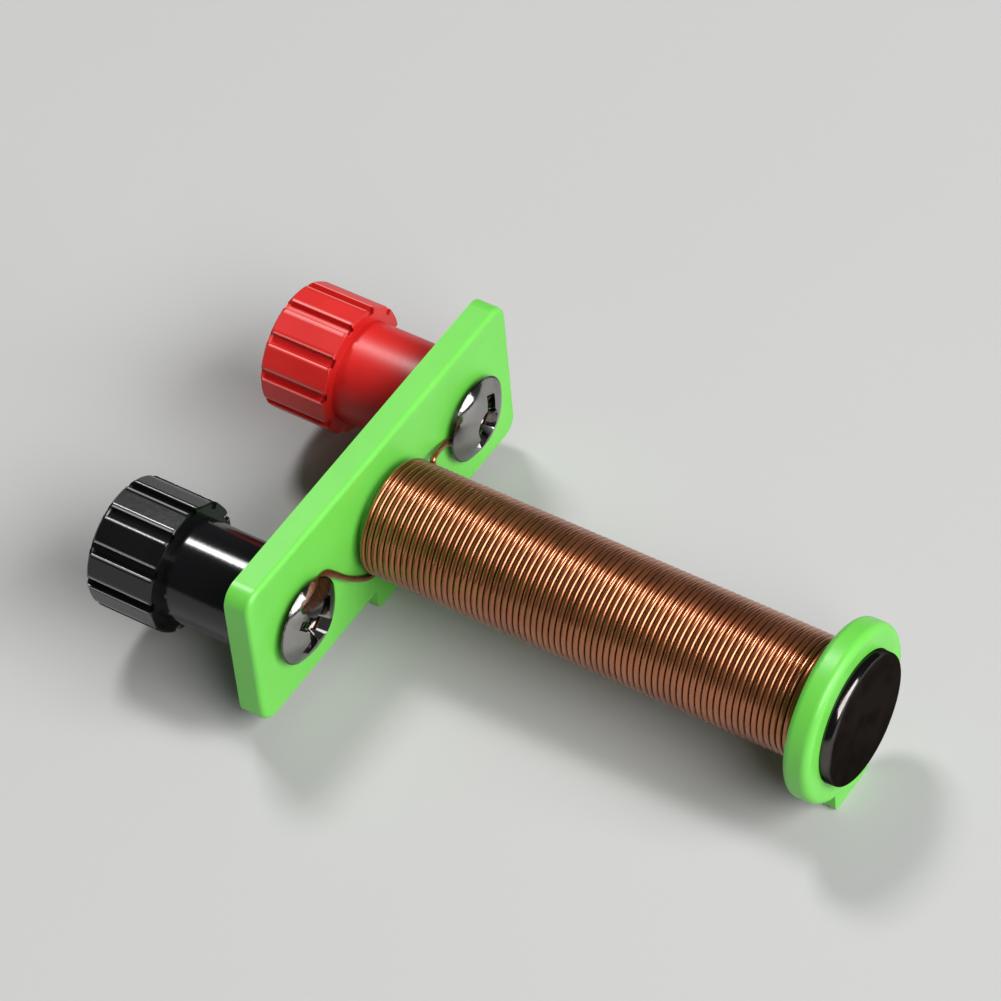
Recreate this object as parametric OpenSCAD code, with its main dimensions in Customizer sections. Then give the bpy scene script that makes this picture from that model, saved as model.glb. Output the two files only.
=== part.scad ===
// Laboratory electromagnet: a wound bobbin with a headed iron core and two screw terminals.
// X runs along the terminal plate, Y along the coil from the pole face to the terminals, Z is up.
// The feet stand on z = 0 and the whole length is centred on y = 0. Sizes are in millimetres.

/* [Terminal plate] */
// Length of the plate between its short ends
plate_w = 40; // [36:0.5:48]
// Height of the plate
plate_h = 16; // [14:0.5:18]
// Thickness of the plate
plate_t = 2.5; // [2:0.1:3.5]
// Radius of the plate's four corners
plate_corner_r = 1.8; // [1.2:0.1:3]
// Rounding of the plate's front edges
plate_edge_r = 0.5; // [0.2:0.1:0.8]
// Distance between the two terminal screws
post_spacing = 26.5; // [25:0.5:27.5]
// Drop of the terminal screws below the coil's axis
post_drop = 0.4; // [0:0.1:1]

/* [Bobbin] */
// Height of the coil's axis above the table
axis_h = 10; // [9.5:0.25:13]
// Length of the winding space between plate and flange
coil_l = 43.8; // [30:0.1:60]
// Wall of the tube that the coil is wound on
tube_wall = 0.8; // [0.6:0.1:1.2]
// Diameter of the round front flange
flange_d = 16.2; // [15:0.1:18]
// Thickness of the front flange
flange_t = 2.5; // [2.2:0.1:4]
// Rounding of the flange's rim
flange_edge_r = 0.7; // [0.2:0.1:1]
// Width of the two feet
foot_w = 5.5; // [4:0.25:8]
// Thickness of the foot under the flange
foot_t = 2; // [1.5:0.1:2.2]
// Rounding of the feet's lower corners
foot_corner_r = 0.6; // [0.2:0.1:1]

/* [Iron core] */
// Diameter of the rod inside the bobbin
core_d = 7; // [5:0.25:8]
// Diameter of the pole head
pole_d = 12; // [10:0.25:13]
// Thickness of the pole head
pole_t = 2; // [1.8:0.1:2.2]
// How far the pole face stands out of the flange
pole_proud = 1; // [0.4:0.1:1.2]
// Rounding of the pole head's edge
pole_edge_r = 0.2; // [0.1:0.05:0.4]
// Chamfer on the rod's rear end
core_chamfer = 0.4; // [0.1:0.1:0.8]

/* [Winding] */
// Diameter of the enamelled wire
wire_d = 0.58; // [0.4:0.02:0.7]
// Free space between neighbouring turns
turn_gap = 0.015; // [0.01:0.005:0.1]
// Height of the varnish between turns, above the wire's middle
varnish_h = 0.1; // [0.05:0.01:0.15]
// Turns by which the outer layer stops short of the plate
outer_step = 1; // [1:1:4]
// Radius of the wire's loop under a screw head
lead_loop_r = 2.5; // [2.45:0.05:3]
// Share of the wire's thickness left where a screw head presses it
lead_press = 0.75; // [0.7:0.05:1]
// Angle of the wire's loop under a screw head
lead_loop_span = 250; // [180:10:270]
// Angle of each lead's last part turn on the coil
lead_wrap = 140; // [60:10:160]
// Rise of the wire off the coil at the end of that turn
lead_lift = 0.1; // [0:0.05:0.3]

/* [Terminal screws] */
// Outer diameter of the machine thread
thread_d = 4; // [3:0.5:4]
// Length of the screw under its head
screw_l = 16; // [13:0.5:16]
// Diameter of the pan head
head_d = 7.9; // [7.4:0.1:8.5]
// Height of the pan head
head_h = 1.6; // [1.5:0.1:2.4]
// Height of the straight rim of the head
head_rim_h = 0.3; // [0.2:0.1:0.6]
// Width of the cross recess at the level of the head's top
recess_w = 6.8; // [4.4:0.1:7]
// Width of the slots of the cross recess
recess_slot = 1.4; // [0.7:0.1:1.5]
// Depth of the cross recess
recess_depth = 1.5; // [1.1:0.1:1.8]
// Turn of the left and the right cross recess
recess_turn = [47, 30]; // [-90:1:90]

/* [Thumb nuts] */
// Diameter of the smooth shank next to the plate
shank_d = 9.4; // [9:0.1:10]
// Length of the smooth shank
shank_l = 8.8; // [7.5:0.1:10]
// Diameter over the long edges of the ribs
grip_d = 12.2; // [11.5:0.1:14]
// Length of the ribbed grip
grip_l = 7; // [6.5:0.1:10]
// Number of ribs round the grip
rib_count = 11; // [8:1:14]
// Width of the grooves between the ribs
groove_w = 0.8; // [0.5:0.05:1.2]
// Depth of the grooves between the ribs
groove_depth = 0.65; // [0.3:0.05:1]
// Rounding of the ribs' long edges
rib_edge_r = 0.15; // [0.1:0.05:0.3]
// Rounding of the grip's outer end
grip_end_r = 0.8; // [0.3:0.1:1]
// Rounding of the ribs' inner ends and of the shank's rim
grip_step_r = 0.3; // [0.1:0.05:0.4]
// Turn of the left and the right thumb nut
nut_turn = [6, 16]; // [-45:1:45]

/* [Threaded inserts] */
// Outer diameter of the insert's barrel
insert_d = 6.4; // [6:0.1:6.8]
// Length of the insert
insert_l = 9; // [6:0.5:10]
// Diameter of the insert's contact flange
insert_flange_d = 7.8; // [7.4:0.1:8]
// Thickness of the insert's contact flange
insert_flange_t = 0.8; // [0.6:0.1:1.2]
// Depth of the two grip grooves round the barrel
insert_groove = 0.3; // [0.1:0.05:0.5]

/* [Clearances] */
// Radial gap round the core's rod and head
core_fit = 0.05; // [0.02:0.01:0.1]
// Gap between wire and what it lies on
wire_fit = 0.02; // [0.01:0.01:0.04]
// Radial gap between screw and plate
hole_fit = 0.1; // [0.05:0.05:0.2]
// Radial gap between screw and insert
thread_fit = 0.05; // [0.02:0.01:0.1]
// Radial gap between insert and thumb nut
insert_fit = 0.05; // [0.02:0.01:0.1]
// Gap between a tight thumb nut and the plate
seat_gap = 0.1; // [0.05:0.05:0.3]
// Free depth in the thumb nut past the screw's end
tip_room = 1; // [0.5:0.1:1.2]

/* [Hidden] */
$fn = 96;
eps = 0.01;

// Places along Y
overall_l = pole_proud + flange_t + coil_l + plate_t + seat_gap + shank_l + grip_l;
pole_y = -overall_l / 2;
flange_y = pole_y + pole_proud;
flange_back_y = flange_y + flange_t;
plate_y = flange_back_y + coil_l;
plate_back_y = plate_y + plate_t;
nut_y = plate_back_y + seat_gap;
grip_y = nut_y + shank_l;
nut_end_y = grip_y + grip_l;

// Radii of core, tube and winding
bore_r = core_d / 2 + core_fit;
tube_r = bore_r + tube_wall;
wire_r = wire_d / 2;
wire_pitch = wire_d + turn_gap;
inner_mid_r = tube_r + wire_fit + wire_r;
layer_step = sqrt(wire_d * wire_d - wire_pitch * wire_pitch / 4);
outer_mid_r = inner_mid_r + layer_step;
layer_gap_r = inner_mid_r + wire_r + wire_fit / 2;

// Full turns of the two layers, and the places of their first and last turns from the flange on
inner_turns = floor((coil_l - 2 * wire_fit) / wire_pitch) - 1;
outer_turns = inner_turns - outer_step;
inner_first_y = flange_back_y + wire_pitch / 2 + wire_fit;
outer_first_y = inner_first_y + wire_pitch / 2;
inner_last_y = inner_first_y + (inner_turns - 1) * wire_pitch;
outer_last_y = outer_first_y + (outer_turns - 1) * wire_pitch;

// Screw places: the head sits on the flattened wire loop that it clamps
post_h = axis_h - post_drop;
head_seat = lead_press * wire_d + 2 * wire_fit;
head_y = plate_y - head_seat;
screw_end_y = head_y + screw_l;
head_sagitta = head_h - head_rim_h;
dome_r = (head_d * head_d / 4 + head_sagitta * head_sagitta) / (2 * head_sagitta);
recess_floor_w = 0.45 * recess_w;
recess_core_d = 2.2 * recess_slot;
screw_tip = thread_d / 8;
groove_floor_r = grip_d / 2 - groove_depth;
bore_depth = screw_end_y - nut_y + tip_room;

// Each lead is the coil's last part turn, a few bends to the screw and a loop under its head.
// A bend is its X and Z from the part turn's end, and its share of the way in Y to the loop.
loop_y = -head_seat / 2;
left_wrap_y = inner_last_y + wire_pitch - plate_y;
right_wrap_y = outer_last_y + wire_pitch - plate_y;
crossing_r = inner_mid_r + wire_d + wire_fit;
left_wrap_angle = 42;
right_wrap_angle = 210;
left_bends = [[-0.75, 0.8, -0.1], [-1.5, 0.9, -0.15], [-3.1, 0.85, 0.25], [-4.55, 0.8, 1.4],
              [-6.25, 0.8, 3.2], [-7.75, 0.9, 5.15], [-8.8, 1, 6.35], [-9.85, 1, 6.65]];
right_bends = [[0.55, 0.1, 0.85], [0.75, 0.05, 1.75], [1, 0.15, 2.2], [1.8, 0.4, 2.1],
               [2.9, 0.75, 1.6], [3.9, 1, 1.15]];
left_loop_angle = 70;
right_loop_angle = 200;
arc_step = 10;
bend_steps = 3;
wire_sides = 12;

// Turns a shape built along +Z so that it lies along +Y on the coil's axis
module on_axis() {
    translate([0, 0, axis_h]) rotate([-90, 0, 0]) children();
}

// The same on the axis of the left (-1) or right (1) terminal
module on_post(side) {
    translate([side * post_spacing / 2, 0, post_h]) rotate([-90, 0, 0]) children();
}

// Half section from the axis to radius r between y0 and y1, with rounded rims
module disc_section(r, y0, y1, round0, round1) {
    translate([0, y0]) square([r - max(round0, round1), y1 - y0]);
    translate([0, y0 + round0]) square([r, y1 - y0 - round0 - round1]);
    if (round0 > 0) rim_corner(r, y0, round0, 1);
    if (round1 > 0) rim_corner(r, y1, round1, -1);
}

// Half section of a rod from y0 to y1, chamfered at y1
module rod_section(r, y0, y1, chamfer) {
    polygon([[0, y0], [r, y0], [r, y1 - chamfer], [r - chamfer, y1], [0, y1]]);
}

// Quarter-round corner of a rim at height y, curving into the section
module rim_corner(r, y, e, inward) {
    translate([r - e, y + inward * e]) circle(e);
    translate([0, min(y, y + inward * e)]) square([r - e, e]);
}

// Section of the plate's border: depth r, thickness plate_t, with a soft front edge
module border_section(r) {
    translate([0, plate_y + plate_edge_r]) square([r, plate_t - plate_edge_r]);
    translate([0, plate_y]) square([r - plate_edge_r, plate_t]);
    translate([r - plate_edge_r, plate_y + plate_edge_r]) circle(plate_edge_r);
}

// Straight border of the plate along a side of length l, its outer face at distance d from the axis
module straight_border(l, d) {
    translate([d - plate_corner_r, 0, -l / 2]) linear_extrude(l) border_section(plate_corner_r);
}

module terminal_plate() {
    mid_w = plate_w - 2 * plate_corner_r;
    mid_h = plate_h - 2 * plate_corner_r;
    translate([0, 0, axis_h]) {
        translate([-mid_w / 2, plate_y, -mid_h / 2]) cube([mid_w, plate_t, mid_h]);
        for (end = [0, 180]) {
            rotate([0, end, 0]) straight_border(mid_h, plate_w / 2);
            rotate([0, 90 + end, 0]) straight_border(mid_w, plate_h / 2);
        }
        for (x = [-1, 1], z = [-1, 1])
            translate([x * mid_w / 2, 0, z * mid_h / 2])
                rotate([-90, 0, 0]) rotate_extrude() border_section(plate_corner_r);
    }
}

// Feet under the plate and under the flange, down to the table
module feet() {
    flange_lift = axis_h - sqrt(flange_d * flange_d - foot_w * foot_w) / 2 + flange_edge_r;
    plate_lift = axis_h - plate_h / 2 + plate_corner_r;
    translate([0, flange_back_y, 0]) foot(foot_t, flange_lift);
    translate([0, plate_back_y, 0]) foot(plate_t, plate_lift);
}

// One foot of thickness t and height h, its rear face at y = 0 and its lower corners rounded
module foot(t, h) {
    flat_w = foot_w - 2 * foot_corner_r;
    rotate([90, 0, 0]) linear_extrude(t) {
        translate([-flat_w / 2, 0]) square([flat_w, h]);
        translate([-foot_w / 2, foot_corner_r]) square([foot_w, h - foot_corner_r]);
        for (end = [-1, 1]) translate([end * flat_w / 2, foot_corner_r]) circle(foot_corner_r);
    }
}

module core_space() {
    rotate_extrude() {
        translate([0, flange_y]) square([bore_r, plate_back_y - flange_y + eps]);
        translate([0, flange_y - eps]) square([pole_d / 2 + core_fit, pole_t - pole_proud + eps]);
    }
}

module screw_hole() {
    translate([0, 0, plate_y - eps]) cylinder(r = thread_d / 2 + hole_fit, h = plate_t + 2 * eps);
}

module bobbin() {
    color("limegreen")
        difference() {
            union() {
                terminal_plate();
                feet();
                on_axis() rotate_extrude() {
                    disc_section(flange_d / 2, flange_y, flange_back_y, flange_edge_r, flange_edge_r);
                    translate([0, flange_back_y - eps]) square([tube_r, coil_l + 2 * eps]);
                }
            }
            on_axis() core_space();
            for (side = [-1, 1]) on_post(side) screw_hole();
        }
}

module iron_core() {
    color("silver")
        on_axis() rotate_extrude() {
            disc_section(pole_d / 2, pole_y, pole_y + pole_t, pole_edge_r, 0);
            rod_section(core_d / 2, pole_y, plate_back_y, core_chamfer);
        }
}

// One layer of turns as a ring with a round crest for each turn and varnish between them
module layer(turns, mid_r, floor_radius, first_y) {
    last_y = first_y + (turns - 1) * wire_pitch;
    on_axis() rotate_extrude() intersection() {
        union() {
            translate([mid_r - wire_r, first_y]) square([wire_r + varnish_h, last_y - first_y]);
            for (turn = [0:turns - 1])
                translate([mid_r, first_y + turn * wire_pitch]) circle(wire_r);
        }
        translate([floor_radius, first_y - wire_d]) square([wire_d, last_y - first_y + 2 * wire_d]);
    }
}

module inner_winding() {
    color("saddlebrown") layer(inner_turns, inner_mid_r, tube_r + wire_fit, inner_first_y);
}

module outer_winding() {
    color("sienna") layer(outer_turns, outer_mid_r, layer_gap_r, outer_first_y);
}

function unit(v) = v / norm(v);

// Point at share t between p1 and p2 on a smooth curve through p0, p1, p2 and p3
function blend(p0, p1, p2, p3, t) =
    0.5 * (2 * p1 + (p2 - p0) * t + (2 * p0 - 5 * p1 + 4 * p2 - p3) * t * t
           + (3 * p1 - p0 - 3 * p2 + p3) * t * t * t);

// The smooth curve through all the points of a list
function smooth(p) = [
    for (i = [0:len(p) - 2], k = [0:bend_steps - 1])
        blend(p[max(i - 1, 0)], p[i], p[i + 1], p[min(i + 2, len(p) - 1)], k / bend_steps),
    p[len(p) - 1]
];

// Points of a screw line round [x, z], its radius going from r0 to r1 and its place from y0 to y1
function arc_points(centre, r0, r1, y0, y1, start, span) =
    let (steps = ceil(abs(span) / arc_step)) [
        for (k = [0:steps])
            let (share = k / steps, angle = start + span * share, r = r0 + (r1 - r0) * share)
                [centre[0] + r * cos(angle), y0 + (y1 - y0) * share, centre[1] + r * sin(angle)]
    ];

// Half the wire's thickness in Y, pressed flat where it lies against the plate
function half_thick(p) = min(wire_r, -p[1] - wire_fit);

// Round bar along a list of points that never run straight along Y
module wire_along(p) {
    last = len(p) - 1;
    rings = [
        for (i = [0:last])
            let (t = unit(p[min(i + 1, last)] - p[max(i - 1, 0)]),
                 u = unit([0, 1, 0] - t[1] * t) * half_thick(p[i]),
                 v = unit(cross(t, u)) * wire_r * wire_r / half_thick(p[i]))
                for (k = [0:wire_sides - 1])
                    p[i] + cos(360 * k / wire_sides) * u + sin(360 * k / wire_sides) * v
    ];
    walls = [
        for (i = [0:last - 1], k = [0:wire_sides - 1])
            let (a = i * wire_sides + k, b = i * wire_sides + (k + 1) % wire_sides)
                [a, a + wire_sides, b + wire_sides, b]
    ];
    start_cap = [for (k = [0:wire_sides - 1]) k];
    end_cap = [for (k = [wire_sides - 1:-1:0]) last * wire_sides + k];
    translate([0, plate_y, axis_h]) polyhedron(rings, concat([start_cap], walls, [end_cap]), convexity = 6);
}

module lead(side, r0, r1, wrap_y, wrap_angle, bends, loop_angle) {
    wrap_rise = wire_pitch * lead_wrap / 360;
    wrap = arc_points([0, 0], r0, r1 + lead_lift, wrap_y, wrap_y + wrap_rise, wrap_angle, side * lead_wrap);
    turn_end = wrap[len(wrap) - 1];
    way = [
        for (b = bends)
            [turn_end[0] + b[0], wrap_y + (loop_y - wrap_y) * b[1], turn_end[2] + b[2]]
    ];
    post = [side * post_spacing / 2, -post_drop];
    loop = arc_points(post, lead_loop_r, lead_loop_r, loop_y, loop_y, loop_angle, lead_loop_span);
    color("peru") wire_along(smooth(concat(wrap, way, loop)));
}

module left_lead() {
    lead(-1, inner_mid_r, inner_mid_r, left_wrap_y, left_wrap_angle, left_bends, left_loop_angle);
}

module right_lead() {
    lead(1, outer_mid_r, crossing_r, right_wrap_y, right_wrap_angle, right_bends, right_loop_angle);
}

// Cross recess sunk into the top of a screw head
module cross_recess() {
    top = head_y - head_h;
    translate([0, 0, top]) {
        for (turn = [0, 90])
            rotate([0, 0, turn]) rotate([90, 0, 0]) linear_extrude(recess_slot, center = true)
                polygon([[-recess_w / 2, -eps], [recess_w / 2, -eps],
                         [recess_floor_w / 2, recess_depth], [-recess_floor_w / 2, recess_depth]]);
        translate([0, 0, -eps]) cylinder(d1 = recess_core_d, d2 = recess_slot, h = recess_depth);
    }
}

module terminal_screw(side) {
    color("gainsboro")
        on_post(side) difference() {
            rotate_extrude() {
                rod_section(thread_d / 2, head_y, screw_end_y, screw_tip);
                intersection() {
                    translate([0, head_y - head_h]) square([head_d / 2, head_h]);
                    translate([0, head_y - head_h + dome_r]) circle(dome_r);
                }
            }
            rotate([0, 0, recess_turn[(side + 1) / 2]]) cross_recess();
        }
}

module left_terminal_screw() {
    terminal_screw(-1);
}

module right_terminal_screw() {
    terminal_screw(1);
}

// Grip seen along the axis: flat-topped ribs with grooves between them and rounded long edges
module grip_outline() {
    half_rib = 180 / rib_count;
    flat_x = sqrt(grip_d * grip_d - groove_w * groove_w) / 2 * cos(half_rib) + groove_w / 2 * sin(half_rib);
    edge_y = groove_w / 2 + rib_edge_r;
    edge_x = (flat_x - rib_edge_r - edge_y * sin(half_rib)) / cos(half_rib);
    mouth_x = edge_x + rib_edge_r * cos(half_rib);
    mouth_y = edge_y + rib_edge_r * sin(half_rib);
    difference() {
        rotate(half_rib) circle(flat_x / cos(half_rib), $fn = rib_count);
        for (rib = [0:rib_count - 1])
            rotate((rib + 0.5) * 360 / rib_count) {
                translate([groove_floor_r, -groove_w / 2]) square([grip_d, groove_w]);
                polygon([[edge_x, -edge_y], [mouth_x, -mouth_y], [grip_d, -mouth_y],
                         [grip_d, mouth_y], [mouth_x, mouth_y], [edge_x, edge_y]]);
            }
    }
    for (rib = [0:rib_count - 1], edge = [-1, 1])
        rotate((rib + 0.5) * 360 / rib_count)
            translate([edge_x, edge * edge_y]) circle(rib_edge_r, $fn = 48);
}

module insert_section(gap, length) {
    translate([0, nut_y - (gap > 0 ? eps : 0)])
        square([insert_flange_d / 2 + gap, insert_flange_t + gap + (gap > 0 ? eps : 0)]);
    translate([0, nut_y]) square([insert_d / 2 + gap, length + gap]);
}

module thumb_nut(side) {
    on_post(side) rotate([0, 0, nut_turn[(side + 1) / 2]]) difference() {
        union() {
            rotate_extrude() disc_section(shank_d / 2, nut_y, grip_y + grip_step_r, grip_step_r, 0);
            intersection() {
                rotate_extrude() disc_section(grip_d / 2, grip_y, nut_end_y, grip_step_r, grip_end_r);
                translate([0, 0, grip_y]) linear_extrude(grip_l) grip_outline();
            }
        }
        rotate_extrude() {
            insert_section(insert_fit, insert_l);
            translate([0, nut_y]) square([thread_d / 2 + 2 * hole_fit, bore_depth]);
        }
    }
}

module black_thumb_nut() {
    color("dimgray") thumb_nut(-1);
}

module red_thumb_nut() {
    color("red") thumb_nut(1);
}

module nut_insert(side) {
    color("gold")
        on_post(side) rotate_extrude() difference() {
            insert_section(0, insert_l);
            translate([0, nut_y - eps]) square([thread_d / 2 + thread_fit, insert_l + 2 * eps]);
            for (place = [0.4, 0.7])
                translate([insert_d / 2 - insert_groove, nut_y + place * insert_l])
                    square([insert_d, insert_groove * 3]);
        }
}

module black_nut_insert() {
    nut_insert(-1);
}

module red_nut_insert() {
    nut_insert(1);
}

bobbin();
iron_core();
inner_winding();
outer_winding();
left_lead();
right_lead();
left_terminal_screw();
right_terminal_screw();
black_thumb_nut();
red_thumb_nut();
black_nut_insert();
red_nut_insert();
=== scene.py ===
"""Dressed scene of a laboratory electromagnet: wound bobbin, iron core, screw terminals and thumb nuts."""

import logging
import math
from collections.abc import Callable, Iterator, Sequence
from contextlib import contextmanager
from dataclasses import dataclass, field, replace
from enum import Enum
from typing import Any

import bmesh
import bpy
from mathutils import Matrix, Vector


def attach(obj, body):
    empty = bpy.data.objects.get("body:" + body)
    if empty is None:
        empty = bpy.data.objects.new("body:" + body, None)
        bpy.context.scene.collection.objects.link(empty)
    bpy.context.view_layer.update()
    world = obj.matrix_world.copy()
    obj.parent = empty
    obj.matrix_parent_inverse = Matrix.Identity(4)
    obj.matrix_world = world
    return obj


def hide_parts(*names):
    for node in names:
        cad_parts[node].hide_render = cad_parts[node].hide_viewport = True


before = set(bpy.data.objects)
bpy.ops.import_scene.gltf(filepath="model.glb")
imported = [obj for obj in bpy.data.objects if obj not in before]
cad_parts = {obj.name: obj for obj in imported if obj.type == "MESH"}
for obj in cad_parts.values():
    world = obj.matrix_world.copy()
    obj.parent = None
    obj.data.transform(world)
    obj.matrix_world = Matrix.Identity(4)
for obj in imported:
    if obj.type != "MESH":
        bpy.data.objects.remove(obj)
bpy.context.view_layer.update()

LOG = logging.getLogger("electromagnet")
MM = 0.001
Point = tuple[float, float, float]
Colour = tuple[float, float, float]


class Side(Enum):
    """The two ends of the terminal plate."""

    LEFT = -1
    RIGHT = 1

    @property
    def screw_node(self) -> str:
        """Name of the terminal screw at this end."""
        return f"{self.name.lower()}_terminal_screw"


class Hand(Enum):
    """Sense of a helix along +Y."""

    RIGHT = 1
    LEFT = -1


# Shader maths


class Sock:
    """A node's output that takes part in Python sums; each sum adds a Math node."""

    def __init__(self, paint: "Paint", socket: bpy.types.NodeSocket) -> None:
        """Wraps one socket of a material.

        Args:
            paint: The material that the socket belongs to.
            socket: The output socket.
        """
        self.paint = paint
        self.socket = socket

    def maths(self, operation: str, *others: "Sock | float", first: bool = True) -> "Sock":
        """Adds one Math node on this socket.

        Args:
            operation: The Math node's operation.
            others: The other values of the sum.
            first: Whether this socket is the first value.

        Returns:
            The result's socket.
        """
        values = (self, *others) if first else (*others, self)
        return self.paint.node("ShaderNodeMath", {"operation": operation}, dict(enumerate(values)))

    def __add__(self, other: "Sock | float") -> "Sock":
        """Sum."""
        return self.maths("ADD", other)

    def __radd__(self, other: float) -> "Sock":
        """Sum with a number on the left."""
        return self.maths("ADD", other)

    def __sub__(self, other: "Sock | float") -> "Sock":
        """Difference."""
        return self.maths("SUBTRACT", other)

    def __rsub__(self, other: float) -> "Sock":
        """Difference from a number."""
        return self.maths("SUBTRACT", other, first=False)

    def __mul__(self, other: "Sock | float") -> "Sock":
        """Product."""
        return self.maths("MULTIPLY", other)

    def __rmul__(self, other: float) -> "Sock":
        """Product with a number on the left."""
        return self.maths("MULTIPLY", other)

    def __pow__(self, other: float) -> "Sock":
        """Power."""
        return self.maths("POWER", other)

    def over(self, low: float, high: float) -> "Sock":
        """Smooth step from 0 at low to 1 at high.

        Args:
            low: Value that gives 0.
            high: Value that gives 1.

        Returns:
            The stepped socket.
        """
        settings = {"interpolation_type": "SMOOTHSTEP"}
        return self.paint.node("ShaderNodeMapRange", settings, {0: self, 1: low, 2: high, 3: 0.0, 4: 1.0})


class Paint:
    """One procedural material and the nodes that make it."""

    def __init__(self, name: str) -> None:
        """Starts a material with only a surface shader and its output.

        Args:
            name: The material's name.
        """
        self.material = bpy.data.materials.new(name)
        self.material.use_nodes = True
        self.tree = self.material.node_tree
        self.shader = self.tree.nodes["Principled BSDF"]

    def node(
        self,
        kind: str,
        settings: dict[str, Any] | None = None,
        values: dict[str | int, Any] | None = None,
        output: str | int = 0,
    ) -> Sock:
        """Adds a node.

        Args:
            kind: The node's type.
            settings: Its own settings, set first; stops is a ramp's list of places and colours.
            values: The value or the link of each socket that is not left as it is.
            output: Which of its outputs is wanted.

        Returns:
            That output.
        """
        made = self.tree.nodes.new(kind)
        for key, value in (settings or {}).items():
            if key == "stops":
                self._fill_ramp(made.color_ramp, value)
            else:
                setattr(made, key, value)
        for key, value in (values or {}).items():
            self._feed(made.inputs[key], value)
        return Sock(self, made.outputs[output])

    def _feed(self, socket: bpy.types.NodeSocket, value: Any) -> None:
        """Links a socket, or sets its value."""
        if isinstance(value, Sock):
            self.tree.links.new(value.socket, socket)
        elif isinstance(value, tuple) and len(value) == 3 and socket.type == "RGBA":
            socket.default_value = (*value, 1.0)
        else:
            socket.default_value = value

    @staticmethod
    def _fill_ramp(ramp: bpy.types.ColorRamp, stops: Sequence[tuple[float, Colour]]) -> None:
        """Gives a ramp its stops."""
        while len(ramp.elements) < len(stops):
            ramp.elements.new(1.0)
        for element, (place, colour) in zip(ramp.elements, stops):
            element.position = place
            element.color = (*colour, 1.0)

    def place(self) -> Sock:
        """Object coordinates, in metres in the model's frame."""
        return self.node("ShaderNodeTexCoord", output="Object")

    def moved(self, scale: Point, shift: Point = (0.0, 0.0, 0.0)) -> Sock:
        """Object coordinates, shifted and then stretched.

        Args:
            scale: Factor along each axis.
            shift: Added after the stretch.

        Returns:
            The coordinates.
        """
        return self.node(
            "ShaderNodeMapping", {}, {"Vector": self.place(), "Scale": scale, "Location": shift}
        )

    def noise(self, cell: float, detail: float = 2.0, stretch: Point = (1.0, 1.0, 1.0)) -> Sock:
        """Cloudy values round 0.5.

        Args:
            cell: Size of a cloud in metres.
            detail: Octaves of finer clouds.
            stretch: Factor on the coordinates along each axis.

        Returns:
            The value.
        """
        return self.node(
            "ShaderNodeTexNoise",
            {},
            {"Vector": self.moved(stretch), "Scale": 1.0 / cell, "Detail": detail},
        )

    def axis(self, letter: str) -> Sock:
        """One object coordinate.

        Args:
            letter: X, Y or Z.

        Returns:
            The coordinate in metres.
        """
        return self.node("ShaderNodeSeparateXYZ", {}, {0: self.place()}, letter)

    def mix(self, share: Sock, low: Any, high: Any) -> Sock:
        """Blends two colours.

        Args:
            share: 0 for the first colour, 1 for the second.
            low: First colour.
            high: Second colour.

        Returns:
            The blend.
        """
        settings = {"data_type": "RGBA"}
        return self.node("ShaderNodeMix", settings, {0: share, 6: low, 7: high}, 2)

    def bump(self, height: Sock, depth: float) -> Sock:
        """A bumped normal.

        Args:
            height: Height from 0 to 1.
            depth: What a height of 1 measures, in metres.

        Returns:
            The normal.
        """
        return self.node("ShaderNodeBump", {}, {"Height": height, "Distance": depth, "Strength": 1.0})

    def surface(self, **values: Any) -> bpy.types.Material:
        """Sets the surface shader and hands the material over.

        Args:
            values: Shader inputs by name, with underscores for spaces.

        Returns:
            The material.
        """
        for key, value in values.items():
            self._feed(self.shader.inputs[key.replace("_", " ")], value)
        return self.material


# Finishes


@dataclass(frozen=True)
class MouldedPlastic:
    """Injection-moulded plastic: even colour, faint flow clouds, fine orange peel and handling marks."""

    name: str
    colour: Colour
    deep: Colour
    roughness: float
    coat: float = 0.0
    peel_depth: float = 0.004 * MM
    scuffs: float = 0.06

    def material(self) -> bpy.types.Material:
        """Builds the material."""
        paint = Paint(self.name)
        clouds = paint.noise(7 * MM, 3.0).over(0.3, 0.7)
        grain = paint.noise(0.35 * MM, 2.0)
        scratches = paint.noise(1.2 * MM, 3.0, (1.0, 0.12, 1.0)).over(0.58, 0.72)
        # wear hands back the colour with the ribbed nuts' painted highlight on the rib edges
        colour, sink = self.wear(paint, paint.mix(clouds, self.deep, self.colour))
        return paint.surface(
            Base_Color=colour,
            Roughness=self.roughness + grain * 0.05 + scratches * self.scuffs,
            Coat_Weight=self.coat,
            Coat_Roughness=0.08,
            IOR=1.5,
            Normal=paint.bump(grain * (self.peel_depth / MM) - sink, MM),
        )

    def wear(self, paint: Paint, colour: Sock) -> tuple[Sock, Sock | float]:
        """Colour with any painted highlight on rib edges, and the depth worn off; neither on a plain moulding.

        Args:
            paint: The material.
            colour: Its colour when new.

        Returns:
            The colour with any painted highlight, and the depth worn off, in millimetres.
        """
        return colour, 0.0


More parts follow.
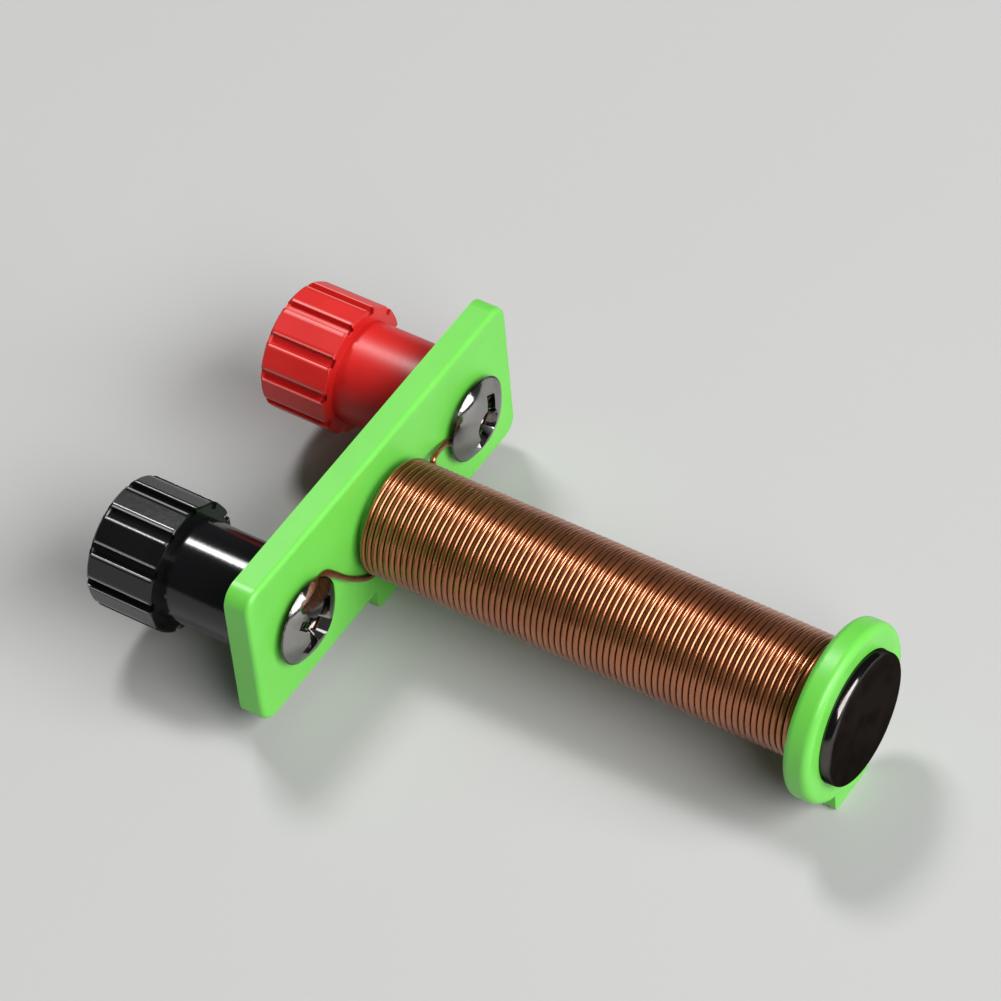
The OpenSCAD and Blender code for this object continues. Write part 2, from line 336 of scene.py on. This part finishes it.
@dataclass(frozen=True)
class RibbedPlastic(MouldedPlastic):
    """Moulding of a thumb nut: ribs whose long edges and ends are rounded, with a painted highlight along the
    long edges.
    """

    post: tuple[float, float] = (0.0, 9.6 * MM)
    grip: tuple[float, float] = (25.85 * MM, 32.85 * MM)
    ribs: int = 11
    rib_angle: float = 0.0
    flat: float = 0.23
    rounded: float = 0.15
    rounding: float = 0.185
    edges: tuple[float, float] = (6.03 * MM, 6.07 * MM)
    edge_highlight_colour: Colour = (0.1, 0.1, 0.1)

    def wear(self, paint: Paint, colour: Sock) -> tuple[Sock, Sock | float]:
        """Paints a highlight along the ribs' long edges and rounds them off towards the grooves and the grip's
        ends.

        Args:
            paint: The material.
            colour: Its colour when new.

        Returns:
            The colour with the painted highlight on the rib edges, and the depth worn off, in millimetres.
        """
        across, height = paint.axis("X") - self.post[0], paint.axis("Z") - self.post[1]
        along, (start, end) = paint.axis("Y"), self.grip
        inside = along.over(start, start + 0.4 * MM) * (1.0 - along.over(end - 0.4 * MM, end - 0.1 * MM))
        # Painted highlight: the ribs' long edges get a lighter colour, whatever the light.
        edge_highlight = ((across * across + height * height) ** 0.5).over(*self.edges) * inside
        turn = height.maths("ARCTAN2", across) * (self.ribs / math.tau) + (0.5 - self.rib_angle * self.ribs / 360)
        aside = (turn.maths("FRACT") - 0.5).maths("ABSOLUTE")
        drop = (aside - self.flat).maths("MAXIMUM", 0.0).maths("MINIMUM", self.rounded)
        depth = drop * drop * (self.rounding / self.rounded**2)
        return paint.mix(edge_highlight, colour, self.edge_highlight_colour), depth * inside


@dataclass(frozen=True)
class PlatedMetal:
    """Bright plated iron or steel with fine turning lines, hairline scratches and dull spots."""

    name: str
    colour: Colour
    dull: Colour
    roughness: float
    rim_shine: float = 1.0
    line_depth: float = 0.0012 * MM

    def material(self) -> bpy.types.Material:
        """Builds the material."""
        paint = Paint(self.name)
        haze = paint.noise(2.2 * MM, 4.0).over(0.42, 0.7)
        hairs = paint.noise(0.12 * MM, 2.0, (1.0, 1.0, 0.06))
        return paint.surface(
            Base_Color=paint.mix(haze, self.colour, self.dull),
            Metallic=1.0,
            Specular_Tint=(self.rim_shine, self.rim_shine, self.rim_shine),
            Roughness=self.roughness + haze * 0.1 + hairs * 0.05,
            Normal=paint.bump(hairs * (self.line_depth / MM) - self.wear(paint), MM),
        )

    def wear(self, paint: Paint) -> Sock | float:
        """Depth rubbed off in millimetres; none on a plain turned piece."""
        return 0.0


@dataclass(frozen=True)
class PolePlating(PlatedMetal):
    """Dark plating on the pole head, whose rim is rubbed round by the keepers that it has held."""

    rim: tuple[float, float] = (-31.85 * MM, -32.85 * MM)
    rubbed: float = 0.42

    def wear(self, paint: Paint) -> Sock | float:
        """Rounds the rim off towards the pole face."""
        start, face = self.rim
        near = ((start - paint.axis("Y")) * (1.0 / (start - face))).maths("MAXIMUM", 0.0)
        return near * near * self.rubbed


@dataclass(frozen=True)
class EnamelledCopper:
    """Copper wire under clear brown enamel, optionally darkened with painted shade towards the valleys between
    the turns.
    """

    name: str
    bright: Colour
    warm: Colour
    shade_colour: Colour
    roughness: float
    valley_shade: tuple[float, float] | None = None
    axis_height: float = 10 * MM

    def material(self) -> bpy.types.Material:
        """Builds the material."""
        paint = Paint(self.name)
        clouds = paint.noise(6 * MM, 3.0).over(0.35, 0.65)
        shade = paint.noise(0.9 * MM, 1.0, (0.25, 1.0, 0.25)).over(0.35, 0.65)
        colour = paint.mix(clouds, self.bright, self.warm)
        # Painted shade: the wire darkens towards the valleys between the turns.
        if self.valley_shade:
            across, height = paint.axis("X"), paint.axis("Z") - self.axis_height
            unshaded = ((across * across + height * height) ** 0.5).over(*self.valley_shade)
            colour = paint.mix(unshaded, self.shade_colour, colour)
        return paint.surface(
            Base_Color=colour,
            Metallic=0.9,
            Roughness=self.roughness + shade * 0.08,
            Coat_Weight=0.5,
            Coat_Roughness=0.14,
            Coat_IOR=1.6,
        )


@dataclass(frozen=True)
class PaleFloor:
    """Plain pale table top."""

    name: str
    colour: Colour

    def material(self) -> bpy.types.Material:
        """Builds the material."""
        paint = Paint(self.name)
        tint = tuple(0.97 * part for part in self.colour)
        return paint.surface(
            Base_Color=paint.mix(paint.noise(60 * MM, 2.0), tint, self.colour), Roughness=0.9
        )


GREEN = MouldedPlastic("green_moulding", (0.142, 0.57, 0.07), (0.128, 0.53, 0.06), 0.34, peel_depth=0.003 * MM)
# The nuts' lighter colours for the rib edges are painted highlights.
RED = RibbedPlastic(
    "red_moulding",
    (0.62, 0.016, 0.013),
    (0.56, 0.011, 0.01),
    0.38,
    post=(13.25 * MM, 9.6 * MM),
    rib_angle=82.2,
    edge_highlight_colour=(0.82, 0.23, 0.2),
)
BLACK = RibbedPlastic(
    "black_moulding",
    (0.006, 0.006, 0.0065),
    (0.0045, 0.0045, 0.005),
    0.12,
    peel_depth=0.002 * MM,
    scuffs=0.03,
    post=(-13.25 * MM, 9.6 * MM),
    rib_angle=92.2,
    edge_highlight_colour=(0.36, 0.36, 0.36),
)
IRON = PolePlating("plated_iron", (0.1, 0.092, 0.088), (0.08, 0.073, 0.07), 0.08, rim_shine=0.28)
NICKEL = PlatedMetal("bright_nickel", (0.36, 0.35, 0.34), (0.27, 0.26, 0.25), 0.05, rim_shine=0.7)
BRASS = PlatedMetal("turned_brass", (0.78, 0.56, 0.22), (0.6, 0.4, 0.15), 0.22)
# WIRE's third colour is the painted shade that TURNS lays into the valleys between the upper turns.
WIRE = EnamelledCopper("enamelled_copper", (0.41, 0.143, 0.056), (0.33, 0.106, 0.04), (0.02, 0.006, 0.002), 0.24)
TURNS = replace(WIRE, name="turns_with_painted_shade", valley_shade=(5.16 * MM, 5.34 * MM))
FLOOR = PaleFloor("pale_floor", (0.46, 0.46, 0.453))


# Modelling helpers


def deselect_all() -> None:
    """Leaves object mode with nothing selected."""
    if bpy.context.mode != "OBJECT":
        bpy.ops.object.mode_set(mode="OBJECT")
    bpy.ops.object.select_all(action="DESELECT")


def make_active(piece: bpy.types.Object) -> None:
    """Selects one object alone.

    Args:
        piece: The object.
    """
    deselect_all()
    piece.select_set(True)
    bpy.context.view_layer.objects.active = piece


@contextmanager
def editing(piece: bpy.types.Object) -> Iterator[bmesh.types.BMesh]:
    """Edit mode on one object, with nothing selected at first.

    Args:
        piece: The object to edit.

    Returns:
        Its edit mesh, for picking vertices, edges and faces.
    """
    make_active(piece)
    bpy.ops.object.mode_set(mode="EDIT")
    bpy.ops.mesh.select_all(action="DESELECT")
    yield bmesh.from_edit_mesh(piece.data)
    bpy.ops.object.mode_set(mode="OBJECT")


def pick_vertices(piece: bpy.types.Object, mesh: bmesh.types.BMesh, wanted: Callable[[Vector], bool]) -> None:
    """Selects the vertices at wanted places.

    Args:
        piece: The object in edit mode.
        mesh: Its edit mesh.
        wanted: Says of a place whether its vertex is selected.
    """
    for vertex in mesh.verts:
        vertex.select_set(wanted(vertex.co))
    mesh.select_flush_mode()
    bmesh.update_edit_mesh(piece.data)


def pick_faces(
    piece: bpy.types.Object, mesh: bmesh.types.BMesh, wanted: Callable[[bmesh.types.BMFace], bool]
) -> None:
    """Selects the wanted faces and no others.

    Args:
        piece: The object in edit mode.
        mesh: Its edit mesh.
        wanted: Says of a face whether it is selected.
    """
    bpy.ops.mesh.select_all(action="DESELECT")
    for face in mesh.faces:
        face.select_set(wanted(face))
    bmesh.update_edit_mesh(piece.data)


def apply_modifier(piece: bpy.types.Object, kind: str, **settings: Any) -> None:
    """Adds a modifier and applies it.

    Args:
        piece: The object.
        kind: The modifier's type.
        settings: Its settings.
    """
    make_active(piece)
    modifier = piece.modifiers.new(kind.lower(), kind)
    for key, value in settings.items():
        setattr(modifier, key, value)
    bpy.ops.object.modifier_apply(modifier=modifier.name)


def settle(piece: bpy.types.Object, name: str, smooth_angle: float = 40.0) -> bpy.types.Object:
    """Puts a piece's place into its mesh, closes it, turns its faces outwards and smooths it.

    Args:
        piece: The object.
        name: Its name from here on.
        smooth_angle: Edges below this angle in degrees are shaded smooth.

    Returns:
        The object.
    """
    piece.name = name
    piece.data.name = name
    make_active(piece)
    bpy.ops.object.transform_apply(location=True, rotation=True, scale=True)
    with editing(piece):
        bpy.ops.mesh.select_all(action="SELECT")
        bpy.ops.mesh.remove_doubles(threshold=0.002 * MM)
        bpy.ops.mesh.fill_holes(sides=0)
        bpy.ops.mesh.normals_make_consistent(inside=False)
    bpy.ops.object.shade_smooth_by_angle(angle=math.radians(smooth_angle))
    return piece


def dress(piece: bpy.types.Object, material: bpy.types.Material) -> None:
    """Gives an object one material.

    Args:
        piece: The object.
        material: Its material.
    """
    piece.data.materials.clear()
    piece.data.materials.append(material)


def carve(piece: bpy.types.Object, cutter: bpy.types.Object) -> None:
    """Cuts one shape out of another and throws the cutter away.

    Args:
        piece: What is cut.
        cutter: The shape of the hole.
    """
    apply_modifier(piece, "BOOLEAN", operation="DIFFERENCE", solver="EXACT", object=cutter)
    bpy.data.objects.remove(cutter)


def put_in_mesh(piece: bpy.types.Object) -> None:
    """Moves an object's place, turn and scale into its mesh.

    Args:
        piece: The object.
    """
    make_active(piece)
    bpy.ops.object.transform_apply(location=True, rotation=True, scale=True)


def join(pieces: Sequence[bpy.types.Object]) -> bpy.types.Object:
    """Makes one object of several.

    Args:
        pieces: The objects; the first one stays.

    Returns:
        The joined object.
    """
    deselect_all()
    for piece in pieces:
        piece.select_set(True)
    bpy.context.view_layer.objects.active = pieces[0]
    bpy.ops.object.join()
    return pieces[0]


@dataclass(frozen=True)
class Helix:
    """A helix of a small section round a line along Y."""

    radius: float
    pitch: float
    turns: float
    section_radius: float
    section_sides: int
    steps_per_turn: int
    hand: Hand = Hand.RIGHT

    def wind(self, start: Point, start_angle: float) -> bpy.types.Object:
        """Winds the helix.

        Args:
            start: Where its line starts.
            start_angle: Angle of its first section in degrees, from X towards Z.

        Returns:
            The open tube.
        """
        deselect_all()
        bpy.ops.mesh.primitive_circle_add(
            vertices=self.section_sides, radius=self.section_radius, rotation=(0.0, 0.0, -math.pi / 2)
        )
        piece = bpy.context.object
        put_in_mesh(piece)
        with editing(piece):
            bpy.ops.mesh.select_all(action="SELECT")
            bpy.ops.transform.translate(value=(self.radius, 0.0, 0.0))
        steps = round(self.steps_per_turn * self.turns)
        apply_modifier(
            piece,
            "SCREW",
            axis="Y",
            angle=self.hand.value * math.tau * self.turns,
            screw_offset=self.pitch * self.turns,
            iterations=1,
            steps=steps,
            render_steps=steps,
            use_merge_vertices=False,
        )
        piece.location = start
        piece.rotation_euler = (0.0, -math.radians(start_angle), 0.0)
        put_in_mesh(piece)
        return piece

    def first_angle(self, end_angle: float) -> float:
        """Angle at which the helix has to start to end at a given one.

        Args:
            end_angle: Angle of its last section in degrees, from X towards Z.

        Returns:
            Angle of its first section.
        """
        return end_angle + self.hand.value * 360.0 * self.turns


# Sub-assemblies


@dataclass
class Coil:
    """Two layers of one round wire: to the flange on the tube, and back on top to the right lead."""

    axis_height: float = 10 * MM
    plate_front: float = 14.45 * MM
    tube_radius: float = 4.35 * MM
    wire_radius: float = 0.29 * MM
    pitch: float = 0.595 * MM
    gap: float = 0.02 * MM
    lower_end: tuple[float, float] = (0.6425 * MM, 42.0)
    lower_turns: float = 71.9
    upper_end: tuple[float, float] = (0.94 * MM, 210.0)
    upper_turns: float = 71.45
    pieces: list[bpy.types.Object] = field(default_factory=list)

    @property
    def lower_radius(self) -> float:
        """Radius of the lower layer's wire centre."""
        return self.tube_radius + self.gap + self.wire_radius

    @property
    def upper_radius(self) -> float:
        """Radius of the upper layer's wire centre, lying in the lower layer's valleys."""
        return self.lower_radius + math.sqrt(4 * self.wire_radius**2 - self.pitch**2 / 4)

    def layer(self, name: str, helix: Helix, end: tuple[float, float]) -> None:
        """Winds one layer.

        Args:
            name: The layer's name.
            helix: Its helix.
            end: Distance from the plate and angle at which its lead goes on.
        """
        first = self.plate_front - end[0] - helix.turns * helix.pitch
        wire = helix.wind((0.0, first, self.axis_height), helix.first_angle(end[1]))
        self.pieces.append(settle(wire, name, 50.0))

    def build(self) -> None:
        """Winds both layers so that they end where the two leads start."""
        lower = Helix(self.lower_radius, self.pitch, self.lower_turns, self.wire_radius, 8, 64, Hand.RIGHT)
        upper = Helix(self.upper_radius, self.pitch, self.upper_turns, self.wire_radius, 12, 96, Hand.LEFT)
        self.layer("lower_layer_wire", lower, self.lower_end)
        self.layer("upper_layer_wire", upper, self.upper_end)

    def dress(self, wire: bpy.types.Material, turns: bpy.types.Material) -> None:
        """Gives the wire its finishes and seats it on the magnet.

        Args:
            wire: Finish of the lower layer and the leads.
            turns: Material of the upper layer, with painted shade between the turns.
        """
        for piece, material, node in zip(self.pieces, (wire, turns), ("inner_winding", "outer_winding")):
            dress(piece, material)
            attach(piece, "magnet")
            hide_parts(node)
        for node in ("left_lead", "right_lead"):
            dress(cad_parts[node], wire)


@dataclass
class TerminalScrew:
    """Low dome head with a cross recess, on a threaded stud that the thumb nut runs on."""

    side: Side
    recess_turn: float
    post_offset: float = 13.25 * MM
    post_height: float = 9.6 * MM
    head_seat: float = 13.975 * MM
    head_radius: float = 3.95 * MM
    head_height: float = 1.6 * MM
    rim_height: float = 0.3 * MM
    rim_bevel: float = 0.07 * MM
    recess_width: float = 6.8 * MM
    recess_slot: float = 1.4 * MM
    recess_depth: float = 1.5 * MM
    floor_share: float = 0.45
    stud_length: float = 16 * MM
    crest_radius: float = 1.98 * MM
    root_radius: float = 1.62 * MM
    pitch: float = 0.7 * MM
    ridge: float = 0.34 * MM
    piece: bpy.types.Object | None = None

    def head(self) -> bpy.types.Object:
        """Cuts the dome from a ball, gives it a rim and sinks the cross into it; its top is +Z."""
        rise = self.head_height - self.rim_height
        ball = (self.head_radius**2 + rise**2) / (2 * rise)
        deselect_all()
        bpy.ops.mesh.primitive_uv_sphere_add(
            segments=96, ring_count=120, radius=ball, location=(0.0, 0.0, self.head_height - ball)
        )
        piece = bpy.context.object
        put_in_mesh(piece)
        with editing(piece) as mesh:
            bpy.ops.mesh.select_all(action="SELECT")
            bpy.ops.mesh.bisect(
                plane_co=(0.0, 0.0, self.rim_height), plane_no=(0.0, 0.0, 1.0), use_fill=True, clear_inner=True
            )
            pick_faces(piece, mesh, lambda face: face.normal.z < -0.9)
            bpy.ops.mesh.extrude_region_move(TRANSFORM_OT_translate={"value": (0.0, 0.0, -self.rim_height)})
        apply_modifier(
            piece, "BEVEL", width=self.rim_bevel, segments=3, limit_method="ANGLE", angle_limit=math.radians(35)
        )
        for turn in (0.0, 90.0):
            carve(piece, self.recess_bar(self.recess_turn + turn))
        carve(piece, self.recess_core())
        return piece

    def recess_bar(self, turn: float) -> bpy.types.Object:
        """One bar of the cross, narrowing to its floor.

        Args:
            turn: Its turn about the screw's axis in degrees.

        Returns:
            The cutter.
        """
        deselect_all()
        bpy.ops.mesh.primitive_cube_add(size=1.0, location=(0.0, 0.0, self.head_height - self.recess_depth / 2))
        bar = bpy.context.object
        bar.scale = (self.recess_width, self.recess_slot, self.recess_depth)
        put_in_mesh(bar)
        with editing(bar) as mesh:
            pick_vertices(bar, mesh, lambda place: place.z < self.head_height - self.recess_depth / 2)
            bpy.ops.transform.resize(value=(self.floor_share, 0.8, 1.0))
        bar.rotation_euler = (0.0, 0.0, math.radians(turn))
        put_in_mesh(bar)
        return bar

    def recess_core(self) -> bpy.types.Object:
        """The round hollow in the middle of the cross."""
        deselect_all()
        bpy.ops.mesh.primitive_cone_add(
            vertices=48,
            radius1=0.6 * self.recess_slot,
            radius2=1.15 * self.recess_slot,
            depth=self.recess_depth,
            location=(0.0, 0.0, self.head_height - self.recess_depth / 2 + 0.01 * MM),
        )
        core = bpy.context.object
        put_in_mesh(core)
        return core

    def stud(self) -> bpy.types.Object:
        """Turns the stud's core with a bevelled tip, from the head's underside towards -Z."""
        deselect_all()
        bpy.ops.mesh.primitive_cylinder_add(
            vertices=48,
            radius=self.root_radius,
            depth=self.stud_length,
            location=(0.0, 0.0, -self.stud_length / 2),
        )
        core = bpy.context.object
        put_in_mesh(core)
        apply_modifier(
            core, "BEVEL", width=0.4 * MM, segments=2, limit_method="ANGLE", angle_limit=math.radians(60)
        )
        return core

    def thread(self, place: Point) -> bpy.types.Object:
        """Winds the thread's ridge round the stud.

        Args:
            place: Where the stud meets the head.

        Returns:
            The ridge.
        """
        turns = (self.stud_length - self.pitch) / self.pitch
        ridge = Helix(self.crest_radius - self.ridge, self.pitch, turns, self.ridge, 3, 40)
        return ridge.wind(place, 0.0)

    def build(self) -> None:
        """Makes head, stud and thread one screw at its place in the plate."""
        place = (self.side.value * self.post_offset, self.head_seat, self.post_height)
        turned = [self.head(), self.stud()]
        for part in turned:
            part.location = place
            part.rotation_euler = (math.pi / 2, 0.0, 0.0)
            put_in_mesh(part)
        self.piece = settle(join([*turned, self.thread(place)]), f"{self.side.name.lower()}_cross_screw", 30.0)

    def dress(self, material: bpy.types.Material) -> None:
        """Gives the screw its finish and seats it on the magnet.

        Args:
            material: The screw's material.
        """
        dress(self.piece, material)
        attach(self.piece, "magnet")
        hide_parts(self.side.screw_node)


@dataclass
class Studio:
    """Pale floor, soft lamps and the camera at the photograph's angle."""

    floor_size: float = 4.0
    lens_pixels: float = 5000.0
    frame_pixels: float = 1001.0
    sensor: float = 36.0
    azimuth: float = -53.3426
    elevation: float = 47.9714
    roll: float = -5.7162
    side_shift: float = 9.779 * MM
    up_shift: float = 1.0039 * MM
    distance: float = 430.0964 * MM
    target: Point = (0.0, 14.45 * MM, 10 * MM)

    def build(self) -> None:
        """Sets up floor, world, lamps and camera."""
        self.floor()
        self.world()
        self.lamp("key_softbox", (0.198, 0.3305, 0.7065), 0.17, 0.17, 3.3)
        self.lamp("front_softbox", (-0.12, -0.72, 0.66), 1.0, 0.5, 14.4)
        self.lamp("low_softbox", (0.15, -1.05, 0.24), 0.6, 0.3, 3.1)
        self.camera()

    def floor(self) -> None:
        """Lays the floor under the feet."""
        deselect_all()
        bpy.ops.mesh.primitive_plane_add(size=self.floor_size, location=(0.0, 0.0, -0.02 * MM))
        plane = bpy.context.object
        plane.name = "floor"
        dress(plane, FLOOR.material())

    def world(self) -> None:
        """Lights the surroundings evenly."""
        world = bpy.data.worlds.new("studio")
        bpy.context.scene.world = world
        world.use_nodes = True
        background = world.node_tree.nodes["Background"]
        background.inputs["Color"].default_value = (0.9, 0.93, 1.0, 1.0)
        background.inputs["Strength"].default_value = 0.07

    def lamp(self, name: str, place: Point, width: float, height: float, power: float) -> None:
        """Adds a soft area lamp that faces the object.

        Args:
            name: The lamp's name.
            place: Where it hangs.
            width: Its width.
            height: Its height.
            power: Its power in watts.
        """
        deselect_all()
        bpy.ops.object.light_add(type="AREA", location=place)
        lamp = bpy.context.object
        lamp.name = name
        lamp.data.shape = "RECTANGLE"
        lamp.data.size = width
        lamp.data.size_y = height
        lamp.data.energy = power
        lamp.rotation_euler = (Vector(self.target) - Vector(place)).to_track_quat("-Z", "Y").to_euler()

    def camera(self) -> None:
        """Places the camera where the photograph was taken."""
        az, el, roll = (math.radians(v) for v in (self.azimuth, self.elevation, self.roll))
        back = Vector((math.sin(az) * math.cos(el), -math.cos(az) * math.cos(el), math.sin(el)))
        right = Vector((math.cos(az), math.sin(az), 0.0))
        up = back.cross(right)
        side = right * math.cos(roll) + up * math.sin(roll)
        top = up * math.cos(roll) - right * math.sin(roll)
        place = Vector(self.target) + back * self.distance + side * self.side_shift + top * self.up_shift
        data = bpy.data.cameras.new("camera")
        data.sensor_width = self.sensor
        data.lens = self.lens_pixels / self.frame_pixels * self.sensor
        data.clip_start = 0.01
        camera = bpy.data.objects.new("camera", data)
        bpy.context.scene.collection.objects.link(camera)
        turn = Matrix((side, top, back)).transposed().to_4x4()
        camera.matrix_world = Matrix.Translation(place) @ turn
        bpy.context.scene.camera = camera


def dress_solids(finishes: dict[str, bpy.types.Material]) -> None:
    """Gives the solids that stay as they are their finishes.

    Args:
        finishes: Material by node name.
    """
    for node, material in finishes.items():
        dress(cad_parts[node], material)
        LOG.info("dressed %s with %s", node, material.name)


def main() -> None:
    """Builds the pieces in order and sets the stage."""
    logging.basicConfig(level=logging.INFO, format="%(name)s: %(message)s")
    bpy.context.scene.view_settings.view_transform = "Standard"
    brass = BRASS.material()
    coil = Coil()
    coil.build()
    coil.dress(WIRE.material(), TURNS.material())
    nickel = NICKEL.material()
    screws = [TerminalScrew(Side.LEFT, -47.0), TerminalScrew(Side.RIGHT, -30.0)]
    for screw in screws:
        screw.build()
        screw.dress(nickel)
    for piece in (*coil.pieces, *(screw.piece for screw in screws)):
        LOG.info("built %s with %d faces", piece.name, len(piece.data.polygons))
    dress_solids(
        {
            "bobbin": GREEN.material(),
            "iron_core": IRON.material(),
            "black_thumb_nut": BLACK.material(),
            "red_thumb_nut": RED.material(),
            "black_nut_insert": brass,
            "red_nut_insert": brass,
        }
    )
    Studio().build()


if __name__ == "__main__":
    main()
